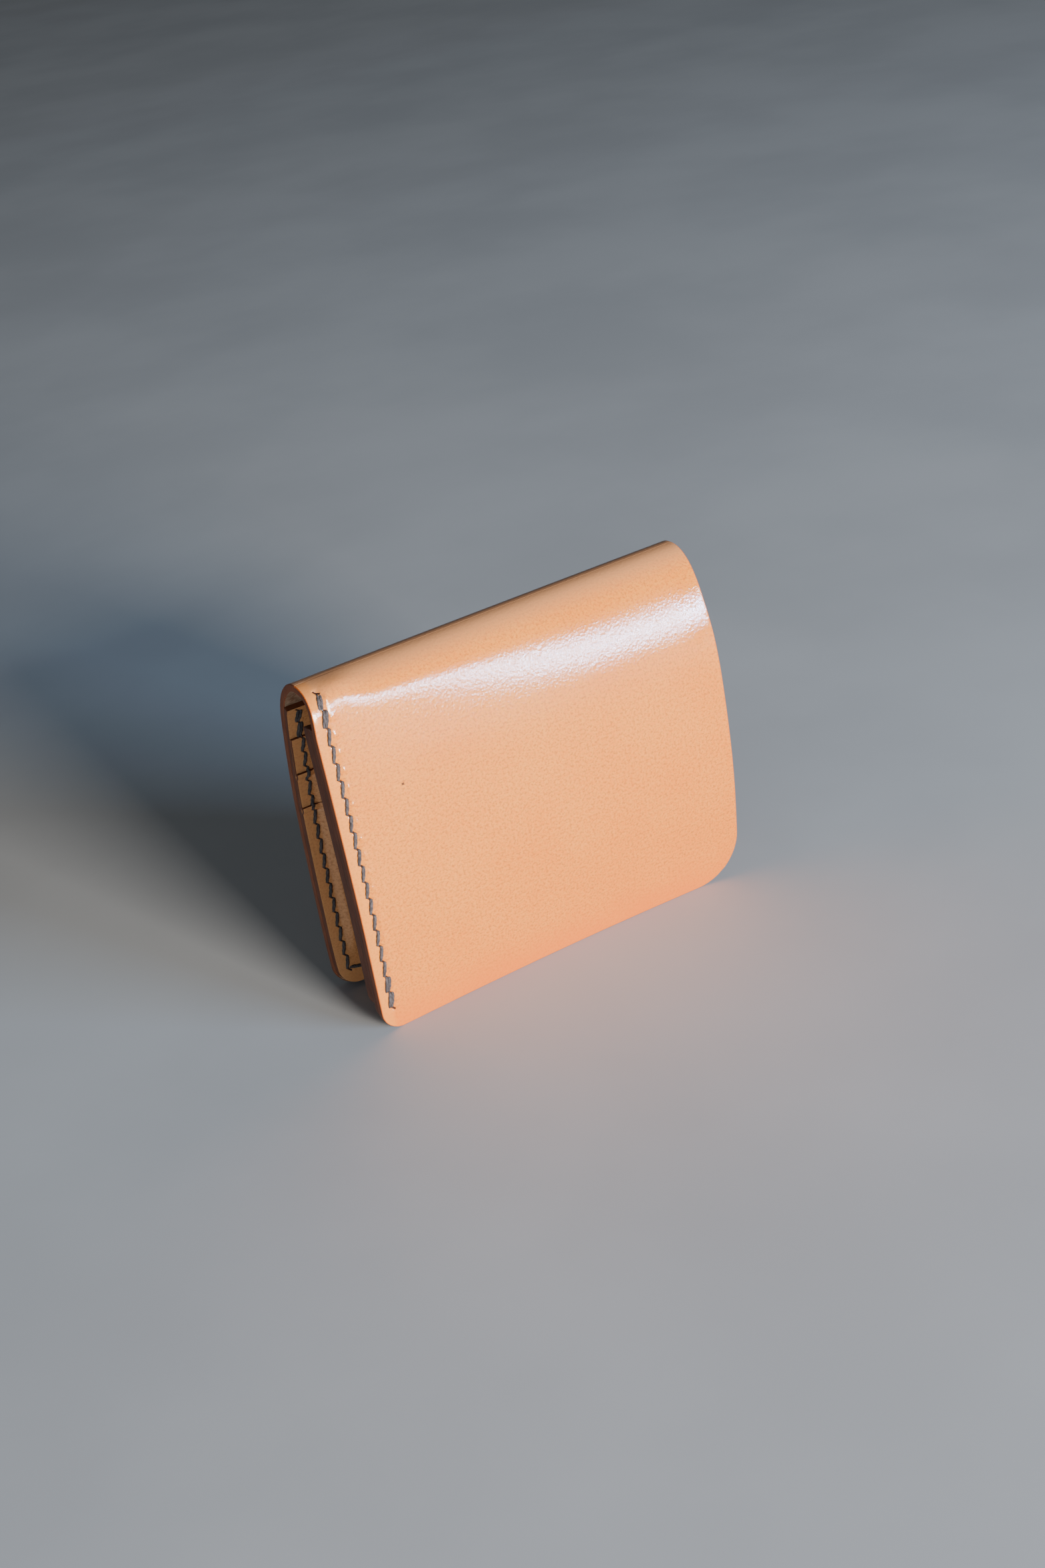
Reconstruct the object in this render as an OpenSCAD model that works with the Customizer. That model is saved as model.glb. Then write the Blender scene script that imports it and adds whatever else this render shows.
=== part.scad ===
// Bifold leather wallet, standing on its two leaves with the fold uppermost.
// X runs along the fold, -Y faces the front leaf and +Z is up. The origin is
// on the ground, midway between the feet and midway along the fold.

/* [Cover] */
// Length of the wallet along its fold
cover_length = 100; // [96:1:120]
// Thickness of the cover leather
cover_thickness = 1.8; // [1.4:0.1:2.4]
// Length of one leaf, from its foot to where the fold begins
leaf_height = 80.5; // [76:0.5:92]
// Radius of the foot corners on the sewn side
small_corner = 5; // [2:0.5:8]
// Radius of the foot corners on the open side
large_corner = 12; // [8:0.5:16]

/* [Fold] */
// Outside radius of the fold
fold_radius = 8; // [7:0.5:11]
// Lean of a leaf out from upright where it meets the fold
leaf_lean = 17.5; // [14:0.1:21]
// Angle that a bowed leaf turns from its foot to the fold
leaf_bow = 25.8; // [20:0.2:30]
// Height of the two bend lines round the fold, as an angle from level
bend_angle = 45; // [38:1:52]
// Gap that stands for the crease at a bend line
bend_gap = 0.3; // [0.2:0.05:0.5]

/* [Card pockets] */
// Thickness of the panel that the pockets are sewn to
backing_thickness = 1.2; // [1.1:0.1:1.6]
// Thickness of the pocket leather
pocket_thickness = 0.8; // [0.7:0.1:1]
// Height of the lowest pocket's mouth, measured up the leaf
lower_mouth = 49.6; // [46:0.2:52]
// Step from one pocket's mouth to the next
mouth_step = 9.3; // [8:0.1:10]
// Depth of the two upper pockets, from mouth to hem
pocket_depth = 44.5; // [38:0.5:46]
// Height of the ears that the two upper pockets are sewn by
ear_height = 10; // [8:0.5:14]
// Long side of a bank card
card_length = 85.6; // [84:0.1:87]
// Room for a card at each side of a pocket
card_ease = 1.7; // [1:0.1:2]
// Distance from the fold's start to the top of the inner panels
panel_top_gap = 2.5; // [1:0.1:4]

/* [Front panels] */
// Thickness of the lining on the front leaf
front_lining_thickness = 1.4; // [1:0.1:1.8]
// Thickness of the bill panel on that lining
bill_thickness = 1.6; // [1:0.1:2]
// Height of the bill panel's foot, measured up the leaf
bill_foot = 2.5; // [2:0.1:3]
// Width of the bill panel's strip that is held by the seam
sewn_width = 6; // [5:0.5:10]
// Gap that stands for the crease where the bill panel swings
flap_gap = 0.3; // [0.2:0.05:0.5]

/* [Stitching] */
// Distance of the side seams from the edge of the cover
seam_margin = 2.8; // [2.4:0.1:3.6]
// Height of the foot seam, measured up the leaf
foot_seam = 4.6; // [4:0.1:6]
// Distance from one stitch hole to the next
stitch_pitch = 4; // [3.8:0.1:5]
// Diameter of the thread
thread_diameter = 0.7; // [0.5:0.05:0.8]
// Diameter of the finer thread in the pockets' hidden hems
hem_thread_diameter = 0.4; // [0.3:0.05:0.45]
// Length of one slanted stitch slit
slit_length = 2.4; // [2.2:0.1:2.6]
// Slant of the slits from the line of the seam
slit_slant = 45; // [40:1:50]
// Distance of a hem seam from the hem's edge
hem_margin = 2.5; // [2:0.1:4]

/* [Fits] */
// Clearance between two layers of leather
layer_gap = 0.05; // [0.03:0.01:0.1]
// Clearance round the thread
thread_clearance = 0.05; // [0.03:0.01:0.1]
// Distance that the inner panels stop short of the cover's edges
panel_setback = 0.3; // [0.2:0.05:0.6]

/* [Hidden] */
$fn = 96;

// Colours of the grain side, the lining panels and the thread
tan_leather = [0.85, 0.62, 0.45];
inner_leather = [0.72, 0.48, 0.33];
thread_grey = [0.40, 0.36, 0.34];

half_length = cover_length / 2;
bend_half_gap = asin(bend_gap / 2 / fold_radius);

// Depth of each layer's near face, measured in from the cover's outer face
lining_depth = cover_thickness + layer_gap;
upper_depth = lining_depth + backing_thickness + layer_gap;
middle_depth = upper_depth + pocket_thickness + layer_gap;
lower_depth = middle_depth + pocket_thickness + layer_gap;
stack_depth = lower_depth + pocket_thickness;
bill_depth = lining_depth + front_lining_thickness + layer_gap;
bill_inner_depth = bill_depth + bill_thickness;

// Edges of the inner panels
panel_left = -half_length + panel_setback;
panel_right = half_length - panel_setback;
panel_top = leaf_height - panel_top_gap;
middle_mouth = lower_mouth + mouth_step;
upper_mouth = middle_mouth + mouth_step;
pocket_half = card_length / 2 + card_ease;

// Sizes of the stitches
thread_sides = 6;
thread_lift = thread_diameter / 2 + thread_clearance;
hem_lift = hem_thread_diameter / 2 + thread_clearance;
slit_width = 2 * thread_lift;
slit_reach = 2 * (stack_depth + cover_thickness);
strand_offset = (slit_length - slit_width) / 2;
seam_x = half_length - seam_margin;

// Seams. A hole is [place on the leaf, way along the seam, depth of the
// fair side's stitches, depth of the other side's stitches].
function hole(place, way, fair, other) = [place, way, fair, other];
function steps(from, to) = floor((to - from) / stitch_pitch);

// Depth of the innermost face at a height up the leaf's sewn edge
function pocket_face(u) =
    u < lower_mouth ? stack_depth
    : u < middle_mouth ? lower_depth - layer_gap
    : u < upper_mouth ? middle_depth - layer_gap
    : upper_depth - layer_gap;

side_count = steps(foot_seam, panel_top - slit_length / 2);

// Bow of a leaf: flat lengths that meet at level bow lines, each on a row of
// stitch holes. Places on the section are [out from the foot, up from the ground].
first_bow = 2;
bow_step = 3;
bow_lines = [for (k = [first_bow:bow_step:side_count - 1]) foot_seam + k * stitch_pitch];
bow_count = len(bow_lines);
bow_turn = leaf_bow / bow_count;
starts = concat([0], bow_lines);
function lean(k) = leaf_lean - (bow_count - k) * bow_turn;
function up_way(angle) = [-sin(angle), cos(angle)];
function out_way(angle) = [cos(angle), sin(angle)];
function start_point(k) =
    k == 0 ? [0, 0] : start_point(k - 1) + (starts[k] - starts[k - 1]) * up_way(lean(k - 1));
function flat_length(u) = len([for (b = bow_lines) if (b < u - layer_gap) b]);
function on_bow_line(u) = len([for (b = bow_lines) if (abs(b - u) <= layer_gap) b]) > 0;
function lean_at(u) = lean(flat_length(u)) + (on_bow_line(u) ? bow_turn / 2 : 0);
function face_point(u) =
    let (k = flat_length(u)) start_point(k) + (u - starts[k]) * up_way(lean(k));
function bow_point(k, depth) =
    start_point(k + 1) - depth / cos(bow_turn / 2) * out_way(lean(k) + bow_turn / 2);
function layer_line(foot, top, depth) = concat(
    [face_point(foot) - depth * out_way(lean_at(foot))],
    [
        for (k = [0:bow_count - 1])
            if (bow_lines[k] > foot + layer_gap && bow_lines[k] < top - layer_gap) bow_point(k, depth)
    ],
    [face_point(top) - depth * out_way(lean_at(top))]
);

// Where the leaves and the fold stand
foot_y = fold_radius * cos(leaf_lean) - face_point(leaf_height).x;
fold_z = face_point(leaf_height).y - fold_radius * sin(leaf_lean);

front_seam = [
    for (k = [side_count:-1:0])
        hole([-seam_x, foot_seam + k * stitch_pitch], [0, -1],
            -thread_lift, bill_inner_depth + thread_lift)
];

foot_count = steps(-seam_x, half_length - large_corner);
back_corner = hole([-seam_x, foot_seam], [sqrt(0.5), -sqrt(0.5)],
    stack_depth + thread_lift, thread_lift);
back_side_run = [
    for (k = [side_count:-1:1])
        let (u = foot_seam + k * stitch_pitch)
        hole([-seam_x, u], [0, -1], pocket_face(u) + thread_lift, thread_lift)
];
back_foot_run = [
    for (k = [1:foot_count])
        hole([-seam_x + k * stitch_pitch, foot_seam], [1, 0],
            stack_depth + thread_lift, thread_lift)
];
back_seam = concat(back_side_run, [back_corner], back_foot_run);

pocket_side_start = foot_seam + stitch_pitch * ceil((large_corner - foot_seam) / stitch_pitch + 0.5);
pocket_side_count = steps(pocket_side_start, upper_mouth - slit_length / 2);
pocket_side_seam = [
    for (k = [pocket_side_count:-1:0])
        let (u = pocket_side_start + k * stitch_pitch)
        hole([seam_x, u], [0, -1], pocket_face(u) + thread_lift, lining_depth + thread_lift)
];

hem_count = steps(-pocket_half + hem_margin, pocket_half - hem_margin);
function hem_seam(mouth, face) = [
    for (k = [0:hem_count])
        hole([(k - hem_count / 2) * stitch_pitch, mouth - pocket_depth + hem_margin], [1, 0],
            face - hem_lift, lining_depth + hem_lift)
];
upper_hem_seam = hem_seam(upper_mouth, upper_depth + pocket_thickness);
middle_hem_seam = hem_seam(middle_mouth, middle_depth + pocket_thickness);

// Route of one saddle-stitch thread: out along one strand and back along the
// other, so that each slit holds one strand at either end. A stitch lies at the
// depth of its second hole, where the layers are as thick or thicker.
function turned(v, angle) =
    [v.x * cos(angle) - v.y * sin(angle), v.x * sin(angle) + v.y * cos(angle)];
function slit_point(h, side) = h[0] + side * strand_offset * turned(h[1], slit_slant);
function at_depth(h, side, depth) =
    let (
        p = slit_point(h, side),
        across = turned(h[1], 90),
        angle = lean_at(h[0].y),
        up = up_way(angle),
        place = face_point(h[0].y) + (p.y - h[0].y) * up - depth * out_way(angle)
    )
    [[p.x, place.x, place.y], [across.x, across.y * up.x, across.y * up.y]];
function leg(seam, k, rises) =
    !rises ? [at_depth(seam[k], -1, seam[k][2]), at_depth(seam[k], -1, seam[k][3])]
    : k == len(seam) - 1 ? [at_depth(seam[k], 1, seam[k][3])]
    : [at_depth(seam[k], 1, seam[k][3]), at_depth(seam[k], 1, seam[k + 1][2])];
function strand(seam, first) =
    [for (k = [first:len(seam) - 1]) each leg(seam, k, k % 2 == first)];
function backwards(list) = [for (i = [len(list) - 1:-1:0]) list[i]];
function thread_route(seam) = concat(backwards(strand(seam, 0)), strand(seam, 1));

// Thread swept along its route, whose points each carry a direction across the seam
function unit(v) = v / norm(v);
function run(route, i) = unit(route[i + 1][0] - route[i][0]);
function heading(route, i) =
    i == 0 ? run(route, 0)
    : i == len(route) - 1 ? run(route, i - 1)
    : unit(run(route, i - 1) + run(route, i));
function ring(route, i, radius) =
    let (
        ahead = heading(route, i),
        across = unit(route[i][1] - (route[i][1] * ahead) * ahead),
        over = cross(ahead, across)
    )
    [
        for (j = [0:thread_sides - 1])
            let (angle = 360 * j / thread_sides)
            route[i][0] + radius * (cos(angle) * across + sin(angle) * over)
    ];

module sewn_thread(seam, diameter) {
    route = thread_route(seam);
    rings = len(route);
    points = [for (i = [0:rings - 1]) each ring(route, i, diameter / 2)];
    walls = [
        for (i = [0:rings - 2], j = [0:thread_sides - 1])
            let (
                a = i * thread_sides + j,
                b = i * thread_sides + (j + 1) % thread_sides
            )
            each [[a, a + thread_sides, b], [b, a + thread_sides, b + thread_sides]]
    ];
    last = (rings - 1) * thread_sides;
    ends = [
        for (j = [1:thread_sides - 2])
            each [[0, j, j + 1], [last, last + j + 1, last + j]]
    ];
    polyhedron(points, concat(walls, ends));
}

// Frame of a leaf, at the middle of its foot
module on_back_leaf() {
    translate([0, foot_y, 0])
        children();
}

module on_front_leaf() {
    mirror([0, 1, 0])
        on_back_leaf()
            children();
}

// Height up the leaf at which an inner layer clears the ground
function layer_foot(inner_depth) =
    max(0, inner_depth * tan(lean(0))) + panel_setback / cos(lean(0));

// Bowed block between two places along the fold, two heights and two depths
module layer(left, right, foot, top, near, far) {
    translate([left, 0, 0])
        rotate([90, 0, 90])
            linear_extrude(right - left)
                polygon(concat(layer_line(foot, top, near), backwards(layer_line(foot, top, far))));
}

module corner_waste(radius) {
    difference() {
        translate([-panel_setback, -panel_setback])
            square(radius + panel_setback);
        translate([radius, radius])
            circle(radius);
    }
}

// Sides, foot and rounded foot corners of a sheet, cut square through the leaf
module foot_outline(left, right, foot) {
    rotate([90 + lean(0), 0, 0])
        linear_extrude(2 * leaf_height, center = true)
            translate([0, foot])
                difference() {
                    translate([left, 0])
                        square([right - left, 2 * leaf_height]);
                    translate([left, 0])
                        corner_waste(small_corner);
                    translate([right, 0])
                        mirror([1, 0])
                            corner_waste(large_corner);
                }
}

// Bowed sheet on the inside of a leaf, cut to the outline of the panels
module panel(left, right, foot, top, depth, thickness) {
    intersection() {
        layer(left, right, foot - panel_setback, top, depth, depth + thickness);
        foot_outline(panel_left, panel_right, foot);
    }
}

module slits(seam) {
    for (h = seam) {
        slit_way = turned(h[1], slit_slant);
        place = face_point(h[0].y);
        translate([h[0].x, place.x, place.y])
            rotate([lean_at(h[0].y), 0, 0])
                rotate([0, -atan2(slit_way.y, slit_way.x), 0])
                    cube([slit_length, slit_reach, slit_width], center = true);
    }
}

// Sector of a circle between two angles from level
module sector(radius, from, to) {
    reach = 2 * radius;
    intersection() {
        circle(radius);
        polygon([
            [0, 0],
            reach * out_way(from),
            reach * out_way((from + to) / 2),
            reach * out_way(to)
        ]);
    }
}

// Section of one leaf with its share of the fold, filled in from one of its faces
module leaf_side(foot, depth) {
    centre = [-foot_y, fold_z];
    polygon(concat(
        [[-foot_y, face_point(foot).y]],
        layer_line(foot, leaf_height, depth),
        [centre]
    ));
    translate(centre)
        sector(fold_radius - depth, -leaf_lean, bend_angle - bend_half_gap);
}

module leaf_section() {
    difference() {
        leaf_side(-cover_thickness, 0);
        leaf_side(-2 * cover_thickness, cover_thickness);
    }
}

// One leaf of the cover, stood on the back side, less the grooves given as children
module cover_leaf(seam) {
    on_back_leaf()
        difference() {
            intersection() {
                rotate([90, 0, 90])
                    linear_extrude(2 * cover_length, center = true)
                        leaf_section();
                foot_outline(-half_length, half_length, 0);
            }
            slits(seam);
            children();
        }
}

module back_cover() {
    color(tan_leather)
        cover_leaf(back_seam) {
            stitch_groove(concat(back_side_run, [back_corner]), -layer_gap, slit_width);
            stitch_groove(concat([back_corner], back_foot_run), -layer_gap, slit_width);
        }
}

module front_cover() {
    color(tan_leather)
        mirror([0, 1, 0])
            cover_leaf(front_seam);
}

// Top of the fold, between its two bend lines
module fold_strip() {
    start = bend_angle + bend_half_gap;
    color(tan_leather)
        rotate([90, 0, 90])
            linear_extrude(cover_length, center = true)
                translate([0, fold_z])
                    difference() {
                        sector(fold_radius, start, 180 - start);
                        circle(fold_radius - cover_thickness);
                    }
}

// Channel between two depths that the stitches of a straight seam lie in
module stitch_groove(seam, near, far) {
    first = seam[0][0];
    last = seam[len(seam) - 1][0];
    room = slit_length / 2;
    layer(min(first.x, last.x) - room, max(first.x, last.x) + room,
        min(first.y, last.y) - room, max(first.y, last.y) + room, near, far);
}

module card_backing() {
    foot = layer_foot(stack_depth);
    color(inner_leather)
        on_back_leaf()
            difference() {
                panel(-half_length, half_length, foot, panel_top, lining_depth, backing_thickness);
                slits(back_seam);
                slits(pocket_side_seam);
                stitch_groove(pocket_side_seam, cover_thickness, lining_depth + slit_width);
                for (seam = [upper_hem_seam, middle_hem_seam]) {
                    slits(seam);
                    stitch_groove(seam, cover_thickness, lining_depth + 2 * hem_lift);
                }
            }
}

// Pocket with ears at its mouth, so that only its mouth is as wide as the panel
module eared_pocket(depth, mouth, hem) {
    foot = mouth - pocket_depth;
    near = depth - layer_gap;
    far = depth + pocket_thickness + layer_gap;
    on_back_leaf()
        difference() {
            layer(panel_left, panel_right, foot, mouth, depth, depth + pocket_thickness);
            layer(-half_length, -pocket_half, foot - ear_height, mouth - ear_height, near, far);
            layer(pocket_half, half_length, foot - ear_height, mouth - ear_height, near, far);
            slits(back_seam);
            slits(pocket_side_seam);
            slits(hem);
            stitch_groove(hem, depth + pocket_thickness - 2 * hem_lift, far);
        }
}

module card_pocket_upper() {
    color(inner_leather)
        eared_pocket(upper_depth, upper_mouth, upper_hem_seam);
}

module card_pocket_middle() {
    color(inner_leather)
        eared_pocket(middle_depth, middle_mouth, middle_hem_seam);
}

module card_pocket_lower() {
    foot = layer_foot(stack_depth);
    color(inner_leather)
        on_back_leaf()
            difference() {
                panel(-half_length, half_length, foot, lower_mouth, lower_depth, pocket_thickness);
                slits(back_seam);
                slits(pocket_side_seam);
            }
}

module front_lining() {
    foot = layer_foot(bill_inner_depth);
    color(inner_leather)
        on_front_leaf()
            difference() {
                panel(-half_length, half_length, foot, panel_top, lining_depth, front_lining_thickness);
                slits(front_seam);
            }
}

module bill_panel_sewn_edge() {
    color(inner_leather)
        on_front_leaf()
            difference() {
                panel(-half_length, panel_left + sewn_width - flap_gap / 2, bill_foot, panel_top,
                    bill_depth, bill_thickness);
                slits(front_seam);
            }
}

module bill_panel() {
    color(inner_leather)
        on_front_leaf()
            panel(panel_left + sewn_width + flap_gap / 2, half_length, bill_foot, panel_top,
                bill_depth, bill_thickness);
}

module front_seam_thread() {
    color(thread_grey)
        on_front_leaf()
            sewn_thread(front_seam, thread_diameter);
}

module back_seam_thread() {
    color(thread_grey)
        on_back_leaf()
            sewn_thread(back_seam, thread_diameter);
}

module pocket_side_thread() {
    color(thread_grey)
        on_back_leaf()
            sewn_thread(pocket_side_seam, thread_diameter);
}

module upper_hem_thread() {
    color(thread_grey)
        on_back_leaf()
            sewn_thread(upper_hem_seam, hem_thread_diameter);
}

module middle_hem_thread() {
    color(thread_grey)
        on_back_leaf()
            sewn_thread(middle_hem_seam, hem_thread_diameter);
}

back_cover();
fold_strip();
front_cover();
card_backing();
card_pocket_upper();
card_pocket_middle();
card_pocket_lower();
front_lining();
bill_panel_sewn_edge();
bill_panel();
front_seam_thread();
back_seam_thread();
pocket_side_thread();
upper_hem_thread();
middle_hem_thread();
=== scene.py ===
# %% [markdown]
# # A hand-sewn bifold wallet
# The wallet is one sheet of natural leather folded over two inner panels. A maker cuts
# every piece flat, sews it, and only then folds it. This lesson works the same way: each
# piece starts as a flat grid in millimetres, and one bend function carries it to the
# standing form. The imported CAD model is loaded first, because many pieces are later
# parented to empties named for its moving bodies, and the CAD parts they stand in for are hidden.

import math

import bmesh
import bpy
import numpy as np
from mathutils import Matrix, Vector


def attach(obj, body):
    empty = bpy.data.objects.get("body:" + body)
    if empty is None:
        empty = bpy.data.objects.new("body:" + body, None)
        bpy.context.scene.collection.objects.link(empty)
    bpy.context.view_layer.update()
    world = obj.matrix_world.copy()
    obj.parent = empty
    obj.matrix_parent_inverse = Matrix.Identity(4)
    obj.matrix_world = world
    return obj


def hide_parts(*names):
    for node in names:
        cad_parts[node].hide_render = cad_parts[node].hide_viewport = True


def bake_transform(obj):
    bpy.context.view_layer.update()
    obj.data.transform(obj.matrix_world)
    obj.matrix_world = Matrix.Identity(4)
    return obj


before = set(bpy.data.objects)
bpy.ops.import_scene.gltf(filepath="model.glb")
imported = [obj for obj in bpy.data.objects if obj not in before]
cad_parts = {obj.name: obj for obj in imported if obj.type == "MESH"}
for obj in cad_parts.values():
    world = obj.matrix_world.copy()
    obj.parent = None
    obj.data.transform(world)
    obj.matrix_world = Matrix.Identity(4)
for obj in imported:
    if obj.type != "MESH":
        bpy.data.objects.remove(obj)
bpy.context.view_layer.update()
MM = 0.001

# %% [markdown]
# ## The camera
# The photograph looks down on the wallet from its front left, with the camera rolled a
# little so that the fold climbs to the right. Turning a matrix by heading, tilt and roll
# in that order is easier to read than one set of Euler angles.

# %% Camera
CAMERA_PLACE = Vector((-0.20803, -0.39900, 0.27901))
HEADING, TILT, ROLL = (math.radians(a) for a in (-27.64, 62.0, -9.0))

lens = bpy.data.cameras.new("camera")
lens.lens, lens.sensor_width = 50.0, 36.0
lens.clip_start, lens.clip_end = 0.01, 60.0
camera = bpy.data.objects.new("camera", lens)
bpy.context.scene.collection.objects.link(camera)
camera.matrix_world = (
    Matrix.Translation(CAMERA_PLACE)
    @ Matrix.Rotation(HEADING, 4, "Z")
    @ Matrix.Rotation(TILT, 4, "X")
    @ Matrix.Rotation(ROLL, 4, "Z")
)
bpy.context.scene.camera = camera
print("camera stands", round(CAMERA_PLACE.length, 3), "m from the wallet")

# %% [markdown]
# ## How the leather stands
# Leather that was folded for a long time keeps a soft bow. It is easiest to describe by
# its lean from upright at a few distances up from the foot: a lean of 90 degrees is the
# crest of the fold. Adding the leans up in small steps gives the side view of a leaf. The
# sewn end is stiff and folds tightly, and the open end is free and bows outwards.

# %% Bend lines of the two leaves
REACH = 90.0
HALF_LENGTH = 50.0
SEAM_X = 47.2
FOOT = 13.0
STEPS_PER_MM = 4
SOFTEN_STEPS = 27
CREST_EASE = 6.0
FRONT_SEWN_END = (
    (0, 1.5), (25, 1), (42, 5), (57, 6), (72, 6.5),
    (78, 8.5), (81, 19), (84, 56), (90, 90),
)
FRONT_OPEN_END = (
    (0, -5), (14, -6), (22, -4.5), (36, 0.5), (55, 5), (62, 10),
    (66, 16), (77, 24.5), (81, 34), (86, 60), (90, 90),
)
BACK_SEWN_END = (
    (0, -12), (14, -2), (30, 0), (43, 1), (57, 7),
    (73, 11.5), (77, 27), (82, 46), (86, 62), (90, 90),
)
BACK_OPEN_END = (
    (0, -6), (14, -5), (24, -3), (34, 0), (56, 6),
    (66, 10), (74, 14), (80, 28), (85, 56), (90, 90),
)
SEWN_CREST_RISE, OPEN_CREST_RISE = -0.6, 0.7

UP = np.linspace(0, REACH, int(REACH * STEPS_PER_MM) + 1)


def ease(t):
    """A smooth step from 0 to 1."""
    t = np.clip(t, 0, 1)
    return t * t * (3 - 2 * t)


def bend_line(leans, foot, way):
    """Side view of one end of a leaf: (y, z) in mm at each step up from the foot."""
    lean = np.radians(np.interp(UP, *zip(*leans)))
    softener = np.hanning(SOFTEN_STEPS) / np.hanning(SOFTEN_STEPS).sum()
    lean = np.convolve(np.pad(lean, SOFTEN_STEPS // 2, "edge"), softener, "valid")
    lean += (math.pi / 2 - lean[-1]) * np.clip((UP - REACH + CREST_EASE) / CREST_EASE, 0, 1) ** 2
    between = (lean[1:] + lean[:-1]) / 2
    y = foot + way * np.concatenate([[0], np.cumsum(np.sin(between))]) / STEPS_PER_MM
    z = np.concatenate([[0], np.cumsum(np.cos(between))]) / STEPS_PER_MM
    return np.stack([y, z], axis=1)


front_sewn, front_open = (bend_line(e, -FOOT, 1) for e in (FRONT_SEWN_END, FRONT_OPEN_END))
back_sewn, back_open = (bend_line(e, FOOT, -1) for e in (BACK_SEWN_END, BACK_OPEN_END))
climb = ease(UP / REACH)[:, None]
front_sewn += climb * (0, SEWN_CREST_RISE)
front_open += climb * (0, OPEN_CREST_RISE)
back_sewn += climb * (front_sewn[-1] - back_sewn[-1])
back_open += climb * (front_open[-1] - back_open[-1])
print("crest at the sewn end (y, z):", front_sewn[-1].round(1))
print("crest at the open end (y, z):", front_open[-1].round(1))

# %% [markdown]
# ## From the flat pattern to the standing form
# A place on a leaf is given by x along the fold, the distance up from the foot and the
# depth in from the outer face. Everything that is sewn to a leaf goes through the same
# function, so layers stay parallel and stitches stay on the leather. The sewn side of the
# front leaf stands a little proud, because three layers and a tight thread spread there.

# %% Leaves
SEWN_FADE = 2.2
FOOT_BOW, FOOT_BOW_HEIGHT = 1.3, 35.0
PROUD_UP, PROUD = (0, 40, 75, 86), (0.55, 0.85, 0.80, 0)
PROUD_FROM, PROUD_WIDTH = -20.0, 30.0
SLOPE_STEP = 0.1
FLOOR_GAP = 0.02


class Leaf:
    """One half of the cover, from its foot to the crest of the fold."""

    def __init__(self, sewn_end, open_end, inward, proud=0.0):
        self.sewn_end, self.open_end = sewn_end, open_end
        self.inward, self.proud = inward, proud

    def outer(self, x, up):
        """Places (y, z) on the outer face, mixed from the side views of the two ends."""
        share = 1 - np.clip((HALF_LENGTH - x) / (2 * HALF_LENGTH), 0, 1) ** SEWN_FADE
        sewn, free = (
            [np.interp(up, UP, end[:, i]) for i in (0, 1)] for end in (self.sewn_end, self.open_end)
        )
        y, z = (a * (1 - share) + b * share for a, b in zip(sewn, free))
        along = np.clip((x + HALF_LENGTH) / (2 * HALF_LENGTH), 0, 1)
        bow = FOOT_BOW * np.sin(math.pi * along) * np.clip(1 - up / FOOT_BOW_HEIGHT, 0, 1) ** 2
        return y + self.inward * bow, z

    def place(self, x, up, depth):
        """Points in metres for arrays of x, up and depth in mm."""
        y, z = self.outer(x, up)
        y0, z0 = self.outer(x, np.maximum(up - SLOPE_STEP, 0))
        y1, z1 = self.outer(x, np.minimum(up + SLOPE_STEP, REACH))
        rise, run = z1 - z0, (y1 - y0) * self.inward
        size = np.hypot(rise, run)
        y = y + self.inward * depth * rise / size
        z = np.maximum(z - depth * run / size, FLOOR_GAP)
        spread = np.clip((PROUD_FROM - x) / PROUD_WIDTH, 0, 1) ** 2 * np.interp(up, PROUD_UP, PROUD)
        return np.stack([x - self.proud * spread, y, z], axis=1) * MM


front_leaf = Leaf(front_sewn, front_open, 1, proud=1.0)
back_leaf = Leaf(back_sewn, back_open, -1)
middle_of_front = front_leaf.place(np.zeros(1), np.full(1, REACH / 2), np.zeros(1))[0] / MM
print("middle of the front leaf (x, y, z):", middle_of_front.round(1))

# %% [markdown]
# ## Layers of leather
# The cover is 1.8 mm thick. The card side has a backing, two pockets with ears and one
# full pocket. Makers cut ears so that the sewn edge holds only one pocket layer: there
# each pocket drops down onto the backing, and only the middle of the stack is thick. The
# front side has a lining and a bill panel that is pared thinner away from its seam. Each
# face of a sheet is a function that gives its depth at a place.

# %% Depths of the layers
COVER, BACKING, POCKET = 1.8, 1.4, 0.6
FRONT_LINING, BILL_SEWN, BILL_FREE = 1.6, 2.8, 1.4
LAYER_GAP, POCKET_GAP = 0.05, 0.02
LINING_DEPTH = COVER + LAYER_GAP
BILL_DEPTH = LINING_DEPTH + FRONT_LINING + LAYER_GAP
PARED_WIDTH = 6.0
MOUTHS = {"lower": 49.6, "middle": 58.9, "upper": 68.2}
POCKET_DEPTH, EAR_HEIGHT, POCKET_HALF = 44.5, 10.0, 44.5
PANEL_TOP = 77.0
EDGE_DEPTH = LINING_DEPTH + BACKING + POCKET_GAP
LAYER_STEP = 0.65
SIDE_SLOPE, FOOT_SLOPE = 1.9, 7.0
EAR_BELOW, EAR_SLOPE = 2.2, 1.4
SWELL, SWELL_REACH, SWELL_HALF = 0.35, 16.0, 43.0
STACK_LEVEL = {"upper": 0, "middle": 1, "lower": 2}


def flat_face(depth):
    """A face at one depth all over."""
    return lambda x, up: np.full_like(x, depth)


def bill_face(x, up):
    """Depth of the bill panel's inner face, pared down beside its seam."""
    pared = ease((x + SEAM_X) / PARED_WIDTH)
    return BILL_DEPTH + BILL_SEWN + (BILL_FREE - BILL_SEWN) * pared


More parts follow.
